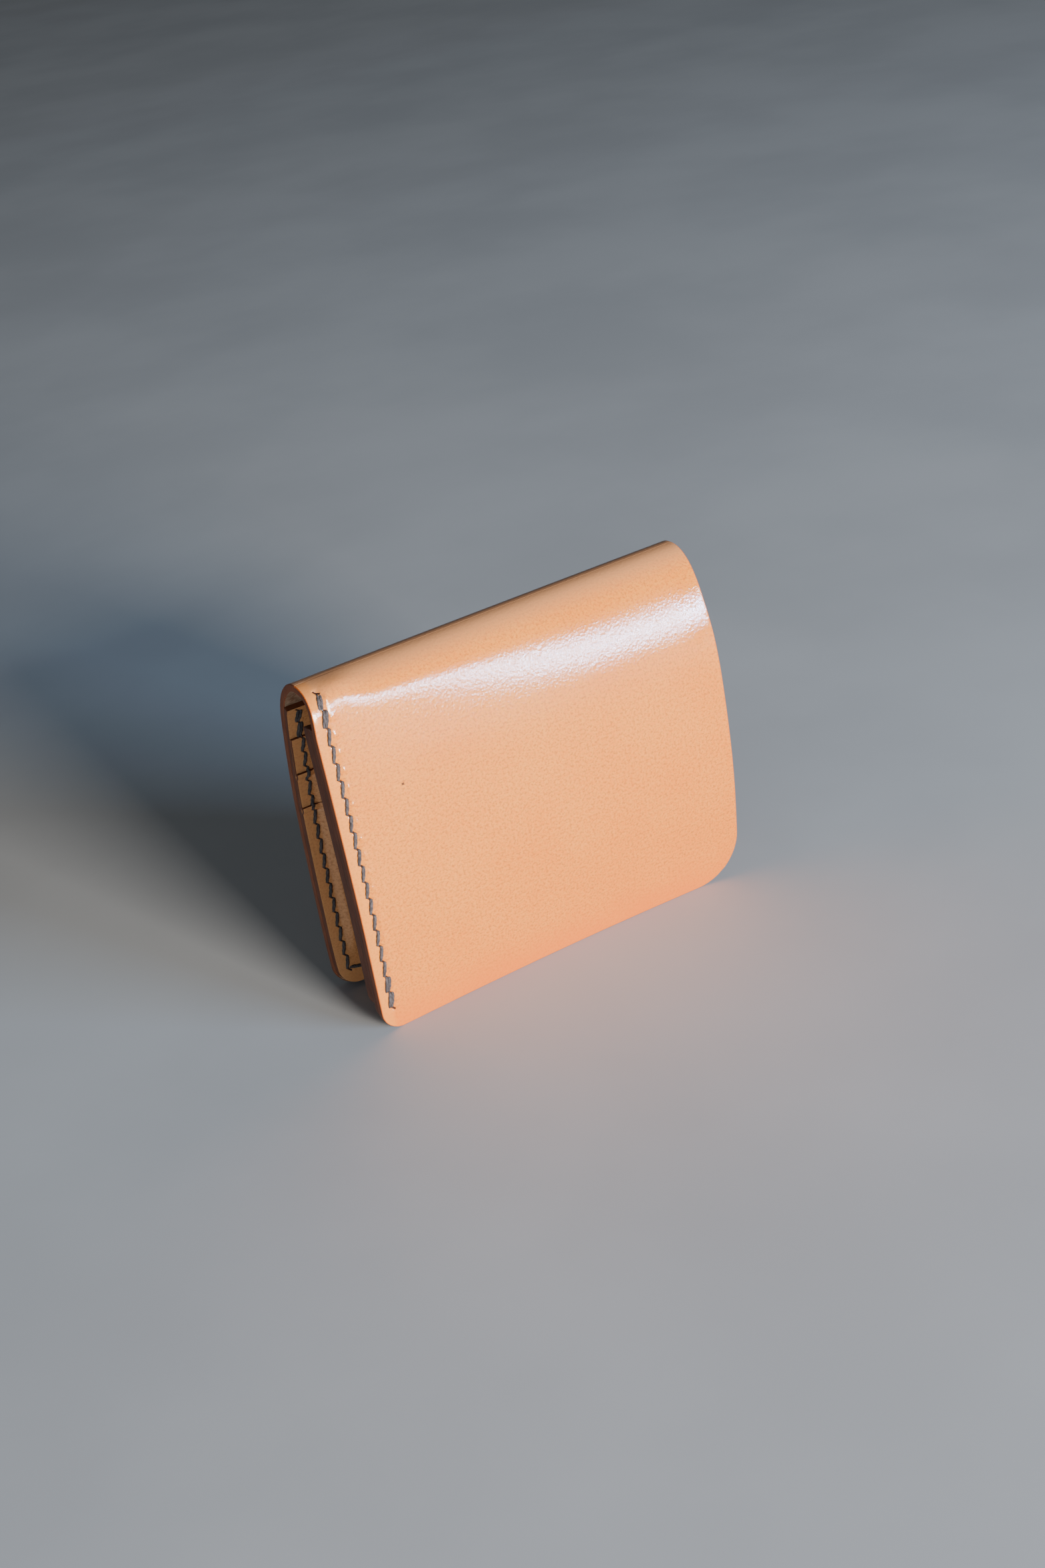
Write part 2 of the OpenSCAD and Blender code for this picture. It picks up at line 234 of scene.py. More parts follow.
def pocket_depth(name, x, up):
    """Depth of a pocket's hidden face: stacked in the middle, pressed down at its sides and foot."""
    level = STACK_LEVEL[name]
    sides = 1 - ease((np.abs(x) - POCKET_HALF) / SIDE_SLOPE)
    foot = ease((up - FOOT_SLOPE) / FOOT_SLOPE)
    over_ear = ease((up - MOUTHS[name] + EAR_BELOW) / EAR_SLOPE) * (level > 0)
    stacked = np.maximum(level * sides * foot, over_ear * (1 - sides))
    return EDGE_DEPTH + LAYER_STEP * stacked + SWELL * mouth_swell(name, x, up)


def mouth_swell(name, x, up):
    """Share by which a pocket's mouth stands away between its sewn sides."""
    reach = np.clip(1 - (MOUTHS[name] - up) / SWELL_REACH, 0, 1)
    return np.clip(1 - (x / SWELL_HALF) ** 2, 0, 1) * reach**2


def inner_face(x, up):
    """Depth of the innermost face of the card side at a place."""
    face = np.full_like(x, LINING_DEPTH + BACKING)
    for name in ("upper", "middle", "lower"):
        there = up < MOUTHS[name]
        if name != "lower":
            there &= (up > MOUTHS[name] - EAR_HEIGHT) | (np.abs(x) < POCKET_HALF)
        face = np.where(there, np.maximum(face, pocket_depth(name, x, up) + POCKET), face)
    return face


print("sewn edges are", EDGE_DEPTH + POCKET, "and", BILL_DEPTH + BILL_SEWN, "mm thick")

# %% [markdown]
# ## Stitch holes
# A saddle stitch runs through slanted awl slits. Going down the seam, each stitch leaves
# the lower right end of one slit and enters the upper left end of the next, which makes
# the small steps that hand sewing shows. The holes are needed before the leather,
# because the thread pulls the grain down round every one of them.

# %% Holes of the seams
FRONT_SEAM_TOP, FRONT_SEAM_FOOT = 85.1, 5.8
BACK_SEAM_TOP, FOOT_SEAM, FOOT_SEAM_END = 75.9, 4.6, 36.8
POCKET_SEAM_TOP, POCKET_SEAM_FOOT = 64.6, 16.6


def run_of_holes(start, end, stitches):
    return np.linspace(start, end, stitches + 1)


front_holes = run_of_holes((-SEAM_X, FRONT_SEAM_TOP), (-SEAM_X, FRONT_SEAM_FOOT), stitches=19)
front_lining_holes = front_holes[front_holes[:, 1] < PANEL_TOP - 1]
back_side_holes = run_of_holes((-SEAM_X, BACK_SEAM_TOP), (-SEAM_X, FOOT_SEAM), stitches=18)
back_foot_holes = run_of_holes((-SEAM_X, FOOT_SEAM), (FOOT_SEAM_END, FOOT_SEAM), stitches=21)
pocket_side_holes = run_of_holes((SEAM_X, POCKET_SEAM_TOP), (SEAM_X, POCKET_SEAM_FOOT), stitches=12)
print(len(front_holes), "holes in the front seam")
print(len(back_side_holes) + len(back_foot_holes) - 1, "holes in the back seam")

# %% [markdown]
# ## Leather under a tight thread
# A seam presses a shallow groove into the grain, with a faint ridge along both its sides, a
# pit at every slit and sometimes a small lip beside a stitch. Each is one bell curve of the
# distance across or along the seam. They could be painted as bump, but as real depth they
# catch the light like leather and the stitches can lie in them.

# %% Dents of the seams
GROOVE_WIDTH = 0.75
RIDGE, RIDGE_SIDE, RIDGE_WIDTH = 0.05, 1.5, 0.5
END_FADE = 1.5
NEAR_SEAM = 2.5
SLIT_HALF, SLIT_WIDTH = 0.6, 0.38
LIP_SIDE, LIP_WIDTH, LIP_HALF = 1.35, 0.5, 0.6


def bell(distance, width):
    return np.exp(-((distance / width) ** 2))


def thread_dents(x, up, holes, pull=0.16, pit=0.3, lip=0.0):
    """Depth in mm that a row of stitches pulls the grain down at each place."""
    first, last = holes[0], holes[-1]
    length = np.linalg.norm(last - first)
    way = (last - first) / length
    along = (x - first[0]) * way[0] + (up - first[1]) * way[1]
    across = (x - first[0]) * way[1] - (up - first[1]) * way[0]
    ends = ease((along + END_FADE) / END_FADE) * ease((length + END_FADE - along) / END_FADE)
    groove = pull * bell(across, GROOVE_WIDTH) - RIDGE * bell(np.abs(across) - RIDGE_SIDE, RIDGE_WIDTH)
    dent = ends * groove
    near = np.abs(across) < NEAR_SEAM
    for hole in holes:
        dx, du = x[near] - hole[0], up[near] - hole[1]
        slit, side = (dx - du) / math.sqrt(2), (dx + du) / math.sqrt(2)
        dent[near] += pit * bell(slit, SLIT_HALF) * bell(side, SLIT_WIDTH)
    for middle in (holes[1:] + holes[:-1]) / 2 if lip else ():
        dx, du = x[near] - middle[0] - LIP_SIDE, up[near] - middle[1]
        dent[near] -= lip * bell(dx, LIP_WIDTH) * bell(du, LIP_HALF)
    return dent


seam_places = np.array([[-SEAM_X, FRONT_SEAM_TOP], [0, FRONT_SEAM_TOP]])
print("dent at a hole and far from it:", thread_dents(*seam_places.T, front_holes).round(2))

# %% [markdown]
# ## Cutting a flat piece
# Every sheet starts as bmesh's grid. The grid lines are moved to chosen places, close
# together where a seam or a mouth needs detail, and a corner is rounded by squeezing the
# square block of cells at the corner into a quarter disc, so the sheet stays all quads.
# The flat pattern is kept as a UV map, which lets the grain follow the leather round the
# fold. While the piece is still flat, bmesh's solidify makes it a slab one unit thick, so a
# corner's z tells which face it is on. Laying it on a leaf can turn it inside out, so its
# normals are worked out again from the new places, and its faces turned outwards. Bevel
# rounds the burnished edges at the end. It is told by edge weights which edges to round,
# since the crest has to stay sharp: there the two halves of the cover meet.

# %% Sheet tools
UV_SCALE = 100.0
RIM = 2
AT_CREST = REACH - 0.01
EDGE_SEGMENTS = 4


def flat_grid(columns, rows):
    """A grid in pattern millimetres with its lines at the given columns and rows."""
    bm = bmesh.new()
    bmesh.ops.create_grid(bm, x_segments=len(columns) - 1, y_segments=len(rows) - 1, size=0.5)
    steps = [np.linspace(-0.5, 0.5, len(lines)) for lines in (columns, rows)]
    for v in bm.verts:
        v.co.x = np.interp(v.co.x, steps[0], columns)
        v.co.y = np.interp(v.co.y, steps[1], rows)
    return bm


def round_corner(bm, corner_x, foot, radius):
    """Squeeze the cells within a radius of a foot corner into a quarter disc."""
    way = 1 if corner_x > 0 else -1
    for v in bm.verts:
        a = (v.co.x - corner_x) * way / radius + 1
        b = (foot - v.co.y) / radius + 1
        if a > 0 and b > 0:
            v.co.x = corner_x + way * radius * (a * math.sqrt(1 - b * b / 2) - 1)
            v.co.y = foot - radius * (b * math.sqrt(1 - a * a / 2) - 1)


def move_points(bm, places):
    """Move every vertex to its place and turn all the faces outwards."""
    for v, place in zip(bm.verts, places):
        v.co = place
    bm.normal_update()
    bmesh.ops.recalc_face_normals(bm, faces=bm.faces)


def finish_sheet(name, bm, leaf, grain, flesh, finishes, edge):
    """Thicken a flat grid, lay its two faces at their depths on a leaf, and round its edges."""
    bmesh.ops.solidify(bm, geom=bm.faces[:], thickness=1)
    pattern = bm.loops.layers.uv.new("pattern")
    for face in bm.faces:
        face.smooth = True
        sides = {round(abs(v.co.z)) for v in face.verts}
        face.material_index = RIM if len(sides) == 2 else sides.pop()
        for loop in face.loops:
            place = loop.vert.co
            loop[pattern].uv = ((place.x + HALF_LENGTH) / UV_SCALE, place.y / UV_SCALE)
    cut = bm.edges.layers.float.new("bevel_weight_edge")
    for line in bm.edges:
        beside = {face.material_index for face in line.link_faces}
        crest = all(v.co.y > AT_CREST for v in line.verts)
        line[cut] = float(RIM in beside and len(beside) == 2 and not crest)
    x, up, side = np.array([v.co for v in bm.verts]).T
    side = np.abs(side)
    places = leaf.place(x, up, grain(x, up) * (1 - side) + flesh(x, up) * side)
    move_points(bm, places)
    mesh = bpy.data.meshes.new(name)
    bm.to_mesh(mesh)
    bm.free()
    piece = bpy.data.objects.new(name, mesh)
    bpy.context.scene.collection.objects.link(piece)
    for finish in finishes:
        mesh.materials.append(finish)
    burnish = piece.modifiers.new("burnished edge", "BEVEL")
    burnish.width, burnish.segments = edge * MM, EDGE_SEGMENTS
    burnish.limit_method, burnish.material = "WEIGHT", len(finishes) - 1
    print(name, len(mesh.polygons), "faces")
    return piece


# %% [markdown]
# ## Writing shaders as sums
# A finish is a tree of nodes. Wiring it by hand hides the idea, so one small class wraps
# a socket: adding or multiplying two wrapped sockets adds the Math node that does it. The
# sockets of a Mix node share their names, so those are picked by number.

# %% Shader tools
MIX_SHARE, MIX_FIRST, MIX_SECOND, MIX_COLOUR = 0, 6, 7, 2


class Value:
    """A socket of a finish. Python's operators on it add Math nodes."""

    def __init__(self, finish, socket):
        self.finish, self.socket = finish, socket

    def __add__(self, other):
        return self.finish.math("ADD", self, other)

    def __sub__(self, other):
        return self.finish.math("SUBTRACT", self, other)

    def __rsub__(self, other):
        return self.finish.math("SUBTRACT", other, self)

    def __mul__(self, other):
        return self.finish.math("MULTIPLY", self, other)

    __radd__, __rmul__ = __add__, __mul__


class Finish:
    """One material, built by adding nodes."""

    def __init__(self, name):
        self.material = bpy.data.materials.new(name)
        self.material.use_nodes = True
        self.tree = self.material.node_tree
        self.tree.nodes.clear()

    def node(self, kind, settings=None, inputs=None, output=0):
        """Add any node: its type, its settings, then the values or links of its sockets."""
        node = self.tree.nodes.new(kind)
        for key, value in (settings or {}).items():
            setattr(node, key, value)
        for key, value in (inputs or {}).items():
            if isinstance(value, Value):
                self.tree.links.new(value.socket, node.inputs[key])
            else:
                node.inputs[key].default_value = value
        return Value(self, node.outputs[output]) if node.outputs else None

    def math(self, operation, *values):
        return self.node("ShaderNodeMath", {"operation": operation}, dict(enumerate(values)))

    def between(self, value, low, high):
        """0 where the value is at low, 1 where it is at high, and smooth between."""
        return self.node(
            "ShaderNodeMapRange",
            {"interpolation_type": "SMOOTHSTEP"},
            {"Value": value, "From Min": low, "From Max": high},
        )

    def colours(self, share, first, second):
        """The first colour at a share of 0 and the second at 1."""
        sockets = {MIX_SHARE: share, MIX_FIRST: first, MIX_SECOND: second}
        return self.node("ShaderNodeMix", {"data_type": "RGBA"}, sockets, MIX_COLOUR)

    def noise(self, where, scale, detail=3.0, rough=0.5):
        return self.node(
            "ShaderNodeTexNoise",
            None,
            {"Vector": where, "Scale": scale, "Detail": detail, "Roughness": rough},
        )

    def cells(self, where, scale):
        return self.node("ShaderNodeTexVoronoi", {"feature": "F1"}, {"Vector": where, "Scale": scale})

    def stretched(self, where, scale):
        return self.node("ShaderNodeMapping", None, {"Vector": where, "Scale": scale})

    def surface(self, inputs):
        shader = self.node("ShaderNodeBsdfPrincipled", None, inputs)
        self.node("ShaderNodeOutputMaterial", None, {"Surface": shader})
        return self.material


# %% [markdown]
# ## Grain side of the leather
# Vegetable-tanned leather is a warm peach tan with slow cloudy changes of tone, a very
# fine grain that breaks up its shine, and deeper orange where hands and the floor rub it.
# The pattern map has 100 mm to one unit, so a noise scale of 170 gives flecks of about
# half a millimetre; their dark tone is painted shade for the tiny shadows between the
# pebbles of the grain. The back and the roof of the fold take a calmer, browner copy of the
# tone: painted shade, for the sides that face away from the light. The strip between a seam
# and the edge is painted paler, a painted highlight for the light that this tilted strip
# catches. One open pore on the front and the dark awl slits are painted at their own places,
# as painted shade in the holes.

# %% Grain finish
TAN_PALE = (0.87, 0.275, 0.036, 1)
TAN_DEEP = (0.84, 0.205, 0.017, 1)
TAN_RUBBED = (0.80, 0.160, 0.011, 1)
# A calmer, browner copy of the tone for the back and the roof: painted shade for the sides that face
# away from the light.
SHADED_SIDE_PALE = (0.74, 0.36, 0.17, 1)
SHADED_SIDE_DEEP = (0.66, 0.29, 0.12, 1)
SHADED_SIDE_RUBBED = (0.60, 0.24, 0.09, 1)
INNER_PALE = (0.78, 0.34, 0.125, 1)
INNER_DEEP = (0.68, 0.27, 0.09, 1)
EDGE_ORANGE = (0.62, 0.13, 0.022, 1)
# Dark flecks of the grain: painted shade for the tiny shadows between its pebbles.
GRAIN_FLECK_SHADE = (0.42, 0.10, 0.014, 1)
# Dark of the slits and the pore: painted shade inside these holes.
HOLE_SHADE = (0.05, 0.018, 0.012, 1)
CLOUD_SCALE, FRECKLE_SCALE, GRAIN_SCALE, PORE_SCALE, RUB_SCALE = 5.0, 110.0, 170.0, 150.0, 9.0
# Where the roof of the fold is painted in the shaded tone.
ROOF_SHADE_FROM, ROOF_SHADE_TO = 80.0, 90.0
RUB_FROM, RUB_TO = 17.0, 4.0
POLISHED_FROM, POLISHED_TO = 41.0, 47.0
PORE_AT, PORE_EDGE = (-34.1, 58.5), (0.42, 0.15)
DIAGONAL = math.sqrt(0.5)
MARK_SIDE, MARK_END, MARK_FADE, MARK_DEPTH = (0.30, 0.12), (1.0, 0.7), 0.2, 6
GRAIN_BUMP, GRAIN_DEPTH, GRAIN_SPECULAR = 0.5, 0.0001, 0.58


def slit_marks(finish, x, up, holes):
    """1 in the awl slits of a straight upright seam, on its pattern in mm."""
    pitch = abs(holes[1][1] - holes[0][1])
    middle = (holes[0][1] + holes[-1][1]) / 2
    reach = abs(holes[0][1] - holes[-1][1]) / 2 + pitch / 2
    phase = finish.math("FLOORED_MODULO", up - (holes[0][1] - pitch / 2), pitch) - pitch / 2
    across = x - holes[0][0]
    side = finish.math("ABSOLUTE", (across + phase) * DIAGONAL)
    along = finish.math("ABSOLUTE", (across - phase) * DIAGONAL)
    inside = finish.between(finish.math("ABSOLUTE", up - middle), reach, reach - MARK_FADE)
    return finish.between(side, *MARK_SIDE) * finish.between(along, *MARK_END) * inside


def grain_leather(name, tones, holes=None, gloss=0.12, pore=None):
    """Polished grain in three tones, with the slits of an upright seam and one pore where given."""
    pale, deep, rubbed = tones
    f = Finish(name)
    where = f.node("ShaderNodeUVMap", {"uv_map": "pattern"})
    split = f.node("ShaderNodeSeparateXYZ", None, {"Vector": where})
    x = split * UV_SCALE - HALF_LENGTH
    up = Value(f, split.socket.node.outputs["Y"]) * UV_SCALE
    clouds = f.noise(where, CLOUD_SCALE, 4.0, 0.55)
    freckles = f.noise(where, FRECKLE_SCALE, 3.0, 0.6)
    grain = f.noise(where, GRAIN_SCALE, 3.0, 0.65)
    pores = f.cells(where, PORE_SCALE)
    tone = f.between(clouds, 0.30, 0.72) * 0.35 + f.between(freckles, 0.38, 0.62) * 0.5
    tone = tone + f.between(up - x * 0.35, 62.0, -8.0) * 0.45
    colour = f.colours(tone, pale, deep)
    # Dark flecks of the grain: painted shade between its pebbles.
    colour = f.colours(f.between(grain, 0.44, 0.70) * 0.6, colour, GRAIN_FLECK_SHADE)
    rub = f.between(up + f.noise(where, RUB_SCALE) * 10, RUB_FROM, RUB_TO) * 0.75
    colour = f.colours(rub, colour, rubbed)
    # The roof of the fold turns to the shaded copy of the tone: painted shade.
    colour = f.colours(f.between(up, ROOF_SHADE_FROM, ROOF_SHADE_TO), colour, SHADED_SIDE_DEEP)
    height = grain * 0.6 + pores * 0.4
    if pore is not None:
        beside, above = (f.math("ABSOLUTE", place - at) for place, at in zip((x, up), pore))
        away = f.math("MAXIMUM", beside, above)
        # The pore is painted dark: painted shade in the hole.
        colour = f.colours(f.between(away, *PORE_EDGE) * 0.9, colour, HOLE_SHADE)
    if holes is not None:
        # The strip beside the seam is painted paler: painted light that the tilted strip catches.
        margin_light = f.between(x, 0.8 - SEAM_X, -1.0 - SEAM_X) * 0.45
        colour = f.colours(margin_light, colour, pale)
        marks = slit_marks(f, x, up, holes)
        # The slits are painted dark: painted shade in the holes.
        colour = f.colours(marks, colour, HOLE_SHADE)
        height = height - marks * MARK_DEPTH
    relief = {"Strength": GRAIN_BUMP, "Distance": GRAIN_DEPTH, "Height": height}
    bump = f.node("ShaderNodeBump", None, relief)
    rough = f.between(freckles, 0.3, 0.7) * 0.06 + gloss
    rough = rough - f.between(x, POLISHED_FROM, POLISHED_TO) * 0.05
    return f.surface(
        {
            "Base Color": colour,
            "Roughness": rough,
            "Normal": bump,
            "Specular IOR Level": GRAIN_SPECULAR,
        }
    )


FRONT_TONES = (TAN_PALE, TAN_DEEP, TAN_RUBBED)
# The back's tones are the shaded copy: painted shade.
SHADED_SIDE_TONES = (SHADED_SIDE_PALE, SHADED_SIDE_DEEP, SHADED_SIDE_RUBBED)
INNER_TONES = (INNER_PALE, INNER_DEEP, INNER_DEEP)
INNER_GLOSS = 0.42
cover_front_grain = grain_leather("cover_grain_front", FRONT_TONES, front_holes, pore=PORE_AT)
cover_back_shaded_grain = grain_leather("cover_grain_back_shaded", SHADED_SIDE_TONES, back_side_holes)
card_grain = grain_leather("card_grain", INNER_TONES, back_side_holes, INNER_GLOSS)
lining_grain = grain_leather("lining_grain", INNER_TONES, gloss=INNER_GLOSS)
print("four grain finishes")

# %% [markdown]
# ## Flesh side and burnished edges
# The inside of the cover was never polished: it is pale, matt and fuzzy, so a stretched
# noise gives it loose fibres. A cut edge is rubbed with water and wax until it turns a
# dark red brown with a dull shine, and its fibres run along the edge, which means that
# its noise changes quickly only through the thickness. The edges of the inner layers get
# a darker copy of this finish, which is painted shade for the deep gap between the leaves.

# %% Flesh and edge finishes
FLESH_DARK, FLESH_PALE = (0.26, 0.12, 0.06, 1), (0.52, 0.31, 0.19, 1)
COVER_EDGE_DARK, COVER_EDGE_PALE = (0.20, 0.048, 0.016, 1), (0.30, 0.08, 0.028, 1)
# A darker copy of the edge colours for the inner layers: painted shade.
SHADED_EDGE_DARK, SHADED_EDGE_PALE = (0.12, 0.030, 0.012, 1), (0.20, 0.055, 0.022, 1)
FIBRE_STRETCH, EDGE_STRETCH = (700, 1500, 1500), (160, 2600, 160)


def flesh_side(name):
    f = Finish(name)
    where = f.node("ShaderNodeTexCoord", output="Object")
    fibres = f.noise(f.stretched(where, FIBRE_STRETCH), 1.0, 4.0, 0.65)
    clumps = f.noise(where, 260.0, 3.0)
    share = f.between(fibres * 0.6 + clumps * 0.4, 0.35, 0.65)
    colour = f.colours(share, FLESH_DARK, FLESH_PALE)
    fuzz = {"Strength": 0.6, "Distance": 0.0002, "Height": fibres + clumps}
    bump = f.node("ShaderNodeBump", None, fuzz)
    return f.surface(
        {"Base Color": colour, "Roughness": 0.95, "Normal": bump, "Specular IOR Level": 0.2}
    )


def burnished_edge(name, dark, bright):
    f = Finish(name)
    where = f.node("ShaderNodeTexCoord", output="Object")
    layers = f.noise(f.stretched(where, EDGE_STRETCH), 1.0, 3.0, 0.6)
    patches = f.noise(where, 180.0, 2.0)
    share = f.between(layers * 0.65 + patches * 0.35, 0.36, 0.64)
    colour = f.colours(share, dark, bright)
    bump = f.node("ShaderNodeBump", None, {"Strength": 0.25, "Distance": 0.0001, "Height": layers})
    return f.surface(
        {"Base Color": colour, "Roughness": 0.45, "Normal": bump, "Specular IOR Level": 0.25}
    )


cover_flesh = flesh_side("cover_flesh")
lining_flesh = flesh_side("lining_flesh")
cover_edge = burnished_edge("cover_edge", COVER_EDGE_DARK, COVER_EDGE_PALE)
# Edges of the inner layers use the darker copy: painted shade.
shaded_lining_edge = burnished_edge("shaded_lining_edge", SHADED_EDGE_DARK, SHADED_EDGE_PALE)
cover_corner = burnished_edge("cover_corner", EDGE_ORANGE, TAN_RUBBED)
print("flesh and edge finishes")

# %% [markdown]
# ## Waxed thread
# The thread is a grey-brown twisted linen. Its plies are modelled in the mesh, so the
# finish only adds the tone of the fibres and a dull waxy sheen.

# %% Thread finish
THREAD_DARK, THREAD_PALE = (0.042, 0.032, 0.029, 1), (0.12, 0.092, 0.084, 1)
PLY_STRETCH = (3500, 3500, 900)


def waxed_thread(name):
    f = Finish(name)
    where = f.node("ShaderNodeTexCoord", output="Object")
    fibres = f.noise(f.stretched(where, PLY_STRETCH), 1.0, 3.0)
    colour = f.colours(f.between(fibres, 0.3, 0.7), THREAD_DARK, THREAD_PALE)
    bump = f.node("ShaderNodeBump", None, {"Strength": 0.3, "Distance": 0.00005, "Height": fibres})
    return f.surface(
        {"Base Color": colour, "Roughness": 0.75, "Normal": bump, "Specular IOR Level": 0.25}
    )


thread_finish = waxed_thread("waxed_thread")
print("thread finish")

# %% [markdown]
# ## The cover
# On the real wallet the cover is one sheet. Here it is two meshes that meet along the
# crest, one laid on each leaf. Both end on the same line with a narrow last row of faces,
# so no seam shows between them. Beside the top of the front seam the shoulder stands
# proud, since the doubled stitches stiffen it there.

# %% Cover
seam_columns = np.arange(-48.5, -45.4, 0.25)
plain_columns = np.r_[np.arange(-45, -40.5, 1), np.arange(-40, 48, 2)]
cover_columns = np.r_[-HALF_LENGTH, -48.8, seam_columns, plain_columns, 48.8, HALF_LENGTH]
cover_rows = np.r_[0, 1.2, np.arange(1.6, 89.6, 0.4), 89.85, REACH]
SEWN_CORNER, OPEN_CORNER = 5.0, 12.0
SHOULDER, SHOULDER_UP, SHOULDER_SPREAD, SHOULDER_WIDTH = 0.8, 84.5, 3.0, 15.0
SEAM_LIP = 0.2


def cover_half(name, leaf, dents, grain, corner):
    bm = flat_grid(cover_columns, cover_rows)
    round_corner(bm, -HALF_LENGTH, 0, SEWN_CORNER)
    round_corner(bm, HALF_LENGTH, 0, OPEN_CORNER)
    finishes = (grain, cover_flesh, cover_edge, corner)
    return finish_sheet(name, bm, leaf, dents, flat_face(COVER), finishes, edge=0.8)


def front_dents(x, up):
    beside_seam = np.sin(math.pi * np.clip((x + HALF_LENGTH) / SHOULDER_WIDTH, 0, 1)) ** 2
    shoulder = SHOULDER * beside_seam * bell(up - SHOULDER_UP, SHOULDER_SPREAD)
    return thread_dents(x, up, front_holes, lip=SEAM_LIP) - shoulder


def back_dents(x, up):
    return thread_dents(x, up, back_side_holes) + thread_dents(x, up, back_foot_holes)


cover_front = cover_half("cover_front", front_leaf, front_dents, cover_front_grain, cover_corner)
cover_back = cover_half("cover_back", back_leaf, back_dents, cover_back_shaded_grain, cover_edge)

# %% [markdown]
# ## Card side: backing and pockets
# The three pockets step down the back leaf. Each mouth has a line creased just below it
# and stands away a little between the sewn sides, which is what makes a slot readable.

# %% Backing and pockets
CREASE_BELOW, CREASE, CREASE_WIDTH = 1.8, 0.14, 0.28
CREASE_ROWS = np.array([2.6, 2.3, 2.1, 1.9, 1.7, 1.5, 1.3, 1.0, 0.7, 0.3, 0])
INNER_LEFT, INNER_RIGHT, INNER_FOOT = -49.92, 49.7, 0.5
left_columns, right_columns = np.arange(-49, -42.9, 0.5), np.arange(43, 49.1, 0.5)
inner_columns = np.r_[
    INNER_LEFT, -49.5, left_columns, np.arange(-42, 42.5, 2), right_columns, 49.4, INNER_RIGHT
]


def creased(up, mouth):
    return CREASE * bell(mouth - CREASE_BELOW - up, CREASE_WIDTH)


def inner_rows(foot, mouth):
    """Rows 1 mm apart, closer at the foot and round the crease below the mouth."""
    plain = np.arange(math.ceil(foot + 1), mouth - 3, 1)
    return np.r_[foot, foot + 0.4, plain, mouth - CREASE_ROWS]


def beside_pocket(face, mouth):
    """Whether a face of a pocket's grid lies beside the pocket, below its ears."""
    middle = face.calc_center_median()
    return abs(middle.x) > POCKET_HALF and middle.y < mouth - EAR_HEIGHT


def pocket(name):
    mouth = MOUTHS[name]
    foot = INNER_FOOT if name == "lower" else mouth - POCKET_DEPTH
    rows = inner_rows(foot, mouth)
    columns = inner_columns
    if name != "lower":
        columns = np.unique(np.r_[columns, -POCKET_HALF, POCKET_HALF])
        rows = np.unique(np.r_[rows, mouth - EAR_HEIGHT])
    bm = flat_grid(columns, rows)
    if name == "lower":
        round_corner(bm, INNER_LEFT, foot, SEWN_CORNER)
        round_corner(bm, INNER_RIGHT, foot, OPEN_CORNER)
    else:
        cut_off = [face for face in bm.faces if beside_pocket(face, mouth)]
        bmesh.ops.delete(bm, geom=cut_off, context="FACES")

    def flesh(x, up):
        return pocket_depth(name, x, up)

    def grain(x, up):
        return flesh(x, up) + POCKET - creased(up, mouth)

    title = f"card_pocket_{name}_leather"
    return finish_sheet(title, bm, back_leaf, grain, flesh, card_finishes, edge=0.15)


def inner_sheet(foot):
    """A sheet as large as a leaf's inside, with its foot corners rounded."""
    bm = flat_grid(inner_columns, inner_rows(foot, PANEL_TOP))
    round_corner(bm, INNER_LEFT, foot, SEWN_CORNER)
    round_corner(bm, INNER_RIGHT, foot, OPEN_CORNER)
    return bm


def backing_grain(x, up):
    return LINING_DEPTH + BACKING - creased(up, PANEL_TOP)


card_finishes = (card_grain, lining_flesh, shaded_lining_edge)
card_backing = finish_sheet(
    "card_backing_leather",
    inner_sheet(INNER_FOOT),
    back_leaf,
    backing_grain,
    flat_face(LINING_DEPTH),
    card_finishes,
    edge=0.25,
)
pockets = {name: pocket(name) for name in ("upper", "middle", "lower")}

# %% [markdown]
# ## Front side: lining and bill panel
# A lining covers the inside of the front leaf. The bill panel lies on it and is sewn along
# the left edge only, so that notes slide in between the two from the other end. Its foot
# stops short, which the stepped layers at the sewn edge show.

# %% Lining and bill panel
BILL_FOOT = 3.0
panel_finishes = (lining_grain, lining_flesh, shaded_lining_edge)
front_lining = finish_sheet(
    "front_lining_leather",
    inner_sheet(INNER_FOOT),
    front_leaf,
    flat_face(LINING_DEPTH + FRONT_LINING),
    flat_face(LINING_DEPTH),
    panel_finishes,
    edge=0.3,
)
bill = finish_sheet(
    "bill_panel_leather",
    inner_sheet(BILL_FOOT),
    front_leaf,
    bill_face,
    flat_face(BILL_DEPTH),
    panel_finishes,
    edge=0.45,
)

# %% [markdown]
# ## Stitches
# One stitch is a short twisted tube that dives into a slit at both ends. It is modelled
# once, as a straight tube of two plies, and copied along a seam; each copy is then bent
# along its own path. The first and last stitches of a seam are sewn twice.

# %% One straight stitch
THREAD_RADIUS = 0.42
RINGS, SIDES, TURNS = 12, 8, 1.5


def straight_stitch():
    """A tube of unit length along z, with its rings close together near both ends."""
    bm = bmesh.new()
    bmesh.ops.create_circle(bm, cap_ends=True, segments=SIDES, radius=1)
    rim = bm.edges[:]
    for _ in range(RINGS):
        grown = bmesh.ops.extrude_edge_only(bm, edges=rim)["geom"]
        rim = [g for g in grown if isinstance(g, bmesh.types.BMEdge) and g.is_boundary]
        bmesh.ops.translate(bm, vec=(0, 0, 1 / RINGS), verts=list({v for e in rim for v in e.verts}))
    bmesh.ops.holes_fill(bm, edges=rim, sides=SIDES)
    for face in bm.faces:
        face.smooth = True
    mesh = bpy.data.meshes.new("stitch")
    bm.to_mesh(mesh)
    bm.free()
    return mesh


stitch = straight_stitch()
stitch_points = np.array([v.co for v in stitch.vertices])
print("one stitch has", len(stitch.polygons), "faces")

